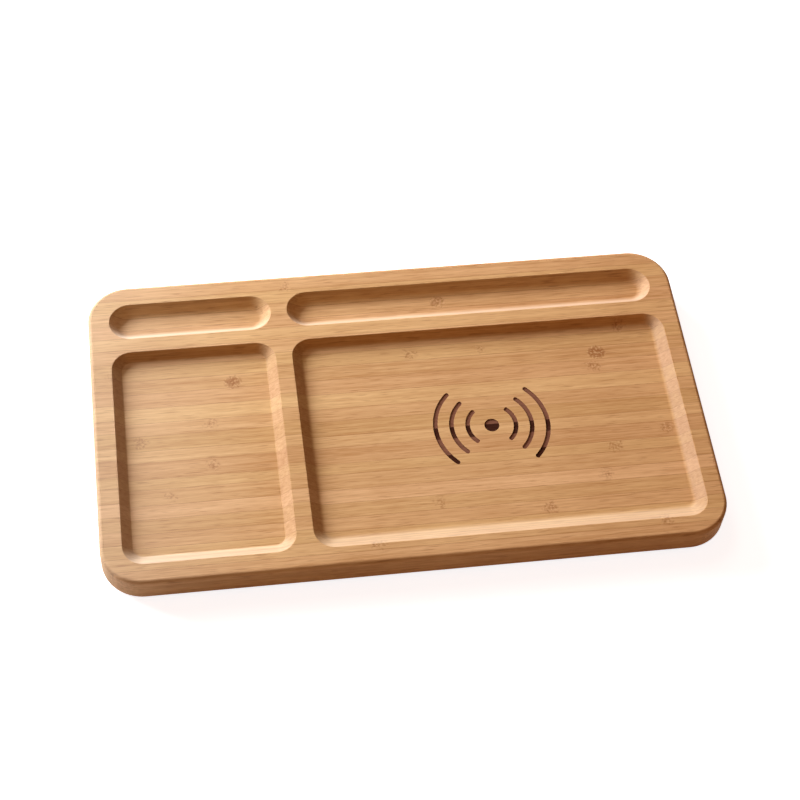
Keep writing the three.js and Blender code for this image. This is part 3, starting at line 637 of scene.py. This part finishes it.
# painted sheen: per-corner share of the painted highlight on lit pocket walls
paintedSheen = bm.loops.layers.float.new("paintedSheen")
for face in bm.faces:
    middle = face.calc_center_median() / mm
    onSide = abs(middle.x) > oilAndPaintedSheen["sideFrom"]
    inPocket = (not onSide and abs(middle.y) < oilAndPaintedSheen["backFrom"]
                and oilAndPaintedSheen["floor"] < middle.z < tray["top"] - 0.02)
    if face.normal.z >= oilAndPaintedSheen["flat"] or not (onSide or inPocket):
        continue
    oil = oilAndPaintedSheen["sideOil"] if onSide else oilAndPaintedSheen["slotOil"] if middle.y > oilAndPaintedSheen["slotsFrom"] else 1
    rightPaintedSheen = oilAndPaintedSheen["bayPaintedSheen"] if middle.x > 0 else oilAndPaintedSheen["smallPaintedSheen"]
    for loop in face.loops:
        normal = loop.vert.normal
        loop[ends] = min(max((abs(normal.x) - 0.15) / 0.4, 0), 1) * oil
        if inPocket:
            # painted highlight: paler on pocket walls facing back and left, toward the key lamp
            shine = max(normal.y * oilAndPaintedSheen["frontPaintedSheen"], -normal.x * rightPaintedSheen, 0)
            loop[paintedSheen] = min(shine, oilAndPaintedSheen["mostPaintedSheen"])

bamboo = bambooMaterial("bamboo", bambooLook, tray["depth"])
burn = burnMaterial("burnt_bamboo", burnLook, bambooLook, tray["depth"])
finishPiece("trayBoard", bm, [bamboo, burn], "bamboo", "tray_body")

# Bottom cover with countersunk holes

cover = {"plate": (71.455, 126.328, 8), "thick": 1.6, "edge": 0.5, "bore": 1.65, "sink": 2.95,
         "sinkDepth": 1.3}
bm = bmesh.new()
plate = roundedFace(bm, at(*under["middle"], tray["bottom"]), *cover["plate"], 10)
outline = list(plate.edges)
sinks = [circleFace(bm, at(x, y, tray["bottom"]), cover["sink"], 32) for x, y in under["coverScrews"]]
fillAround(bm, plate, sinks, -up)
topEdges = grow(bm, outline, up * cover["thick"])
for sink in sinks:
    cone = push(bm, [sink], up * cover["sinkDepth"])
    resize(bm, cone, cover["bore"] / cover["sink"], cover["bore"] / cover["sink"], 1)
    bore = push(bm, cone, up * (cover["thick"] - cover["sinkDepth"]))[0]
    topEdges += list(bore.edges)
    bmesh.ops.delete(bm, geom=[bore], context="FACES_ONLY")
bmesh.ops.triangle_fill(bm, use_beauty=True, edges=topEdges, normal=up)
bmesh.ops.recalc_face_normals(bm, faces=bm.faces)
roundEdges(bm, outline, cover["edge"], 4)
print("cover", len(bm.faces), "open edges", openEdges(bm))
finishPiece("coverPlate", bm, [materials["cover_plastic"]], "cover_plastic", "bottom_cover")

# Countersunk cover screws

screw = {"head": 2.8, "edge": 2.72, "shank": 1.5, "core": 1.15, "headHeight": 1.3, "tipStart": 6, "length": 8,
         "point": 0.25, "pitch": 1.2, "crossArm": 1.75, "crossHalf": 0.33, "crossDepth": 0.65}


def coverScrew(x, y, name, node):
    bm = bmesh.new()
    low = tray["bottom"]
    arm, half = screw["crossArm"], screw["crossHalf"]
    face = circleFace(bm, at(x, y, low), screw["edge"], 36)
    rim = list(face.edges)
    corners = [(sx * (arm + half) / 2, sy * (arm + half) / 2) for sx in (-1, 1) for sy in (-1, 1)]
    cross = cellFaces(bm, at(x, y, low), (-arm, -half, half, arm), (-arm, -half, half, arm), corners)
    fillAround(bm, face, cross, -up)
    resize(bm, push(bm, cross, up * screw["crossDepth"]), 0.72, 0.72, 1)
    stations = [(screw["edge"], 0), (screw["head"], 0.1), (screw["shank"], screw["headHeight"])]
    level = screw["headHeight"] + 0.5
    while level + screw["pitch"] < screw["tipStart"]:
        stations += [(screw["core"], level), (screw["core"], level + 0.45 * screw["pitch"]),
                     (screw["shank"], level + 0.8 * screw["pitch"])]
        level += screw["pitch"]
    stations += [(screw["core"], screw["tipStart"]), (screw["point"], screw["length"])]
    turned(bm, rim, stations)
    finishPiece(name, bm, [materials["screw_steel"]], "screw_steel", node)


frontFirst = sorted(under["coverScrews"], key=lambda spot: (spot[1], spot[0]))
for index, (x, y) in enumerate(frontFirst, 1):
    coverScrew(x, y, f"coverScrew{index}", f"cover_screw_{index}")

# Rubber feet

foot = {"radius": 7, "top": 2.8, "edge": 0.7, "ring": (4.3, 4.9), "ringDepth": 0.3, "dish": 0.15}


def rubberFoot(x, y, name, node):
    bm = bmesh.new()
    face = circleFace(bm, at(x, y, foot["top"]), foot["radius"] - 0.2, 56)
    stations = [(foot["radius"] - 0.2, foot["top"]), (foot["radius"], foot["top"] - 0.2)]
    for index in range(6):
        turn = math.pi / 2 * index / 5
        stations.append((foot["radius"] - foot["edge"] * (1 - math.cos(turn)),
                         foot["edge"] * (1 - math.sin(turn))))
    near, far = foot["ring"]
    stations += [(far, 0), (far - 0.15, foot["ringDepth"]), (near + 0.15, foot["ringDepth"]), (near, 0),
                 (2.2, 0), (1.8, foot["dish"]), (0.6, foot["dish"])]
    turned(bm, list(face.edges), stations)
    finishPiece(name, bm, [materials["rubber"]], "rubber", node)


for (x, y), corner in zip(under["feet"], ("front_left", "front_right", "back_left", "back_right")):
    rubberFoot(x, y, "foot" + corner.title().replace("_", ""), "rubber_foot_" + corner)

# Socket: steel shell, and the insulator with its tongue and contacts

socket = {"size": (8.94, 3.26, 1.58), "wall": 0.3, "face": 78.7, "length": 7.4, "lip": 0.1, "block": 2,
          "gap": 0.1, "tongue": (6.7, 0.7, 0.15), "tongueLength": 6.7, "contacts": 12, "pitch": 0.5,
          "contact": 0.3, "contactEnds": (74.4, 77.5)}
bm = bmesh.new()
bore = roundedFace(bm, facingBack(wellX, socket["face"], under["socket"]), *socket["size"], 8)
step(bm, bore, socket["wall"], 0)
outline = [edge for edge in bm.edges if len(edge.link_faces) == 1]
rear = grow(bm, outline, back * -socket["length"])
bore = push(bm, [bore], back * -socket["length"])[0]
rear += list(bore.edges)
bmesh.ops.delete(bm, geom=[bore], context="FACES_ONLY")
bmesh.ops.bridge_loops(bm, edges=rear)
bmesh.ops.recalc_face_normals(bm, faces=bm.faces)
roundEdges(bm, outline, socket["lip"], 3)
print("socket shell", len(bm.faces), "open edges", openEdges(bm))
finishPiece("socketShell", bm, [materials["socket_steel"]], "socket_steel", "usb_socket_shell")

bm = bmesh.new()
shrink = socket["wall"] + socket["gap"]
rearEnd = socket["face"] - socket["length"]
width, height, corner = socket["size"]
block = roundedFace(bm, facingBack(wellX, rearEnd + socket["block"], under["socket"]), width - 2 * shrink,
                    height - 2 * shrink, corner - shrink, 8)
outline = list(block.edges)
tongue = roundedFace(bm, facingBack(wellX, rearEnd + socket["block"], under["socket"]), *socket["tongue"], 4)
fillAround(bm, block, [tongue], back)
bmesh.ops.edgeloop_fill(bm, edges=grow(bm, outline, back * -socket["block"]))
push(bm, [tongue], back * (socket["tongueLength"] - socket["block"]))
middleContact = (socket["contacts"] - 1) / 2
cuts = [((wellX + (index - middleContact) * socket["pitch"] + side * socket["contact"] / 2, 0), (1, 0, 0))
        for index in range(socket["contacts"]) for side in (-1, 1)]
cuts += [((0, y), (0, 1, 0)) for y in socket["contactEnds"]]
for (x, y), normal in cuts:
    bmesh.ops.bisect_plane(bm, geom=bm.verts[:] + bm.edges[:] + bm.faces[:], plane_co=(x * mm, y * mm, 0),
                           plane_no=normal)
bm.normal_update()
near, far = socket["contactEnds"]
for face in bm.faces:
    middle = face.calc_center_median() / mm
    offset = (middle.x - wellX) / socket["pitch"] + middleContact
    onRow = -0.4 < offset < socket["contacts"] - 0.6
    onContact = abs(offset - round(offset)) * socket["pitch"] < socket["contact"] / 2
    if abs(face.normal.z) > 0.99 and onRow and onContact and near < middle.y < far:
        face.material_index = 1
print("insulator", len(bm.faces), "open edges", openEdges(bm))
finishPiece("socketInsulator", bm, [materials["socket_plastic"], materials["gold_contact"]], "socket_plastic",
            "usb_socket_insulator")

# Foam spacer under the ferrite

foam = {"radius": 18, "low": 3.7, "high": 6.7, "edge": 0.4}
bm = bmesh.new()
face = circleFace(bm, at(wellX, wellY, foam["low"]), foam["radius"] - foam["edge"], 64)
stations = [(foam["radius"] - foam["edge"], foam["low"])]
for index in range(1, 5):
    turn = math.pi / 2 * index / 4
    stations.append((foam["radius"] - foam["edge"] * (1 - math.sin(turn)),
                     foam["low"] + foam["edge"] * (1 - math.cos(turn))))
for index in range(5):
    turn = math.pi / 2 * index / 4
    stations.append((foam["radius"] - foam["edge"] * (1 - math.cos(turn)),
                     foam["high"] - foam["edge"] * (1 - math.sin(turn))))
turned(bm, list(face.edges), stations)
finishPiece("foamSpacer", bm, [materials["foam"]], "foam", "coil_foam_spacer")

# Charging coil, one wire from pad to pad

coil = {"level": 8.85, "eye": 10.5, "pitch": 1.35, "turns": 9.65, "wire": 0.9, "perTurn": 24, "padX": 3.5,
        "padY": 34.6, "padTop": 6.2, "bend": 1.35, "leadX": -8.2, "drop": 1.45, "ferrite": 25.228}


def spiral(turn):
    radius = coil["eye"] + coil["pitch"] * turn
    angle = math.pi + 2 * math.pi * turn
    return Vector((radius * math.cos(angle), radius * math.sin(angle), coil["level"]))


bend, padX, padY, padTop, leadX = (coil[key] for key in ("bend", "padX", "padY", "padTop", "leadX"))
crossing = coil["level"] - coil["drop"]
path = [Vector((-padX, padY, padTop)), Vector((-padX, padY, padTop + bend)),
        Vector((-padX, padY - bend, padTop + 2 * bend)), Vector((leadX, coil["ferrite"], crossing)),
        Vector((leadX, coil["eye"], crossing)), Vector((leadX, 5 * bend, crossing)),
        Vector((leadX - bend, 2.5 * bend, coil["level"] - coil["drop"] / 3))]
steps = round(coil["turns"] * coil["perTurn"])
path += [spiral(coil["turns"] * index / steps) for index in range(steps + 1)]
leaving = (spiral(coil["turns"]) - spiral(coil["turns"] - 1 / coil["perTurn"])).normalized()
path += [spiral(coil["turns"]) + leaving * 5 * bend, Vector((padX, padY - bend, padTop + 2 * bend)),
         Vector((padX, padY, padTop + bend)), Vector((padX, padY, padTop))]
curve = bpy.data.curves.new("coilWire", "CURVE")
curve.dimensions = "3D"
curve.resolution_u = 3
curve.bevel_depth = coil["wire"] / 2 * mm
curve.bevel_resolution = 2
curve.use_fill_caps = True
spline = curve.splines.new("BEZIER")
spline.bezier_points.add(len(path) - 1)
for point, spot in zip(spline.bezier_points, path):
    point.co = (spot + Vector((wellX, wellY, 0))) * mm
    point.handle_left_type = point.handle_right_type = "AUTO"
wire = bpy.data.objects.new("coilWire", curve)
bpy.context.scene.collection.objects.link(wire)
bpy.context.view_layer.update()
bm = bmesh.new()
bm.from_mesh(wire.evaluated_get(bpy.context.evaluated_depsgraph_get()).to_mesh())
bpy.data.objects.remove(wire)
bpy.data.curves.remove(curve)
print("coil", len(bm.faces))
finishPiece("coilWinding", bm, [materials["copper_wire"]], "copper_wire", "charging_coil")

# CAD nodes that stay as they are take a material by their slot

slotOf = {
    "coil_adhesive": "adhesive_film", "coil_ferrite": "ferrite", "temperature_sensor": "sensor_bead",
    "circuit_board": "circuit_board", "controller_chip": "chip_black", "sense_resistor": "chip_black",
    "bridge_transistor": "chip_black", "supply_inductor": "inductor_core", "input_capacitor": "ceramic",
    "resonant_capacitor": "ceramic", "board_screw": "screw_steel",
}
for name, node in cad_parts.items():
    for start, look in slotOf.items():
        if name.startswith(start):
            node.data.materials.clear()
            node.data.materials.append(materials[look])
print("carried nodes", len(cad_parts))

# Stage

stage = {"size": 12, "albedo": srgb(244, 238, 230), "roughness": 0.9, "lift": 0.84,
         "glow": (0.96, 1, 1.04, 1), "fill": srgb(255, 180, 95), "fillStrength": 0.21}
bm = bmesh.new()
bmesh.ops.create_grid(bm, x_segments=1, y_segments=1, size=stage["size"] / 2)
floorMesh = bpy.data.meshes.new("floor")
bm.to_mesh(floorMesh)
bm.free()
floor = bpy.data.objects.new("floor", floorMesh)
bpy.context.scene.collection.objects.link(floor)
floorMaterial, tree, shader = newMaterial("floor")
shader.inputs["Base Color"].default_value = stage["albedo"]
shader.inputs["Roughness"].default_value = stage["roughness"]
shader.inputs["Specular IOR Level"].default_value = 0.0
lift = maths(tree, "MULTIPLY", backgroundRays(tree), stage["lift"])
glow = addNode(tree, "ShaderNodeEmission", {"Color": stage["glow"], "Strength": lift})
both = addNode(tree, "ShaderNodeAddShader", {0: shader.outputs[0], 1: glow.outputs[0]})
tree.links.new(both.outputs[0], tree.nodes["Material Output"].inputs["Surface"])
floorMesh.materials.append(floorMaterial)

world = bpy.data.worlds.new("studio")
bpy.context.scene.world = world
world.use_nodes = True
tree = world.node_tree
fill = tree.nodes["Background"]
fill.inputs["Color"].default_value = stage["fill"]
fill.inputs["Strength"].default_value = stage["fillStrength"]
white = addNode(tree, "ShaderNodeBackground", {"Color": (1, 1, 1, 1), "Strength": 1.0})
parts = {0: backgroundRays(tree), 1: fill.outputs[0], 2: white.outputs[0]}
blend = addNode(tree, "ShaderNodeMixShader", parts)
tree.links.new(blend.outputs[0], tree.nodes["World Output"].inputs["Surface"])

lamps = {
    "key": {"place": (-0.84, 0.8, 0.44), "size": (1.0, 0.5), "power": 38.5, "colour": (0.91, 1, 1.11)},
    "top": {"place": (-0.4, 0.85, 1.3), "size": (0.6, 0.6), "power": 3, "colour": (0.96, 1, 1)},
}
for name, lamp in lamps.items():
    light = bpy.data.lights.new(name, "AREA")
    light.shape = "RECTANGLE"
    light.size, light.size_y = lamp["size"]
    light.energy = lamp["power"]
    light.color = lamp["colour"]
    holder = bpy.data.objects.new(name, light)
    holder.location = lamp["place"]
    holder.rotation_euler = (-Vector(lamp["place"])).to_track_quat("-Z", "Y").to_euler()
    bpy.context.scene.collection.objects.link(holder)

# Camera

shot = {"eye": (-108.59, -513.36, 792.46), "right": (0.99012, -0.13026, 0.05193),
        "above": (0.07906, 0.8244, 0.56046), "ahead": (0.11582, 0.55082, -0.82655), "lens": 85.66}
lens = bpy.data.cameras.new("camera")
lens.lens = shot["lens"]
lens.sensor_width = 36
camera = bpy.data.objects.new("camera", lens)
axes = Matrix((shot["right"], shot["above"], -Vector(shot["ahead"]))).transposed()
camera.matrix_world = at(*shot["eye"]) @ axes.to_4x4()
bpy.context.scene.collection.objects.link(camera)
bpy.context.scene.camera = camera
bpy.context.scene.view_settings.view_transform = "Standard"

print("scene ready")
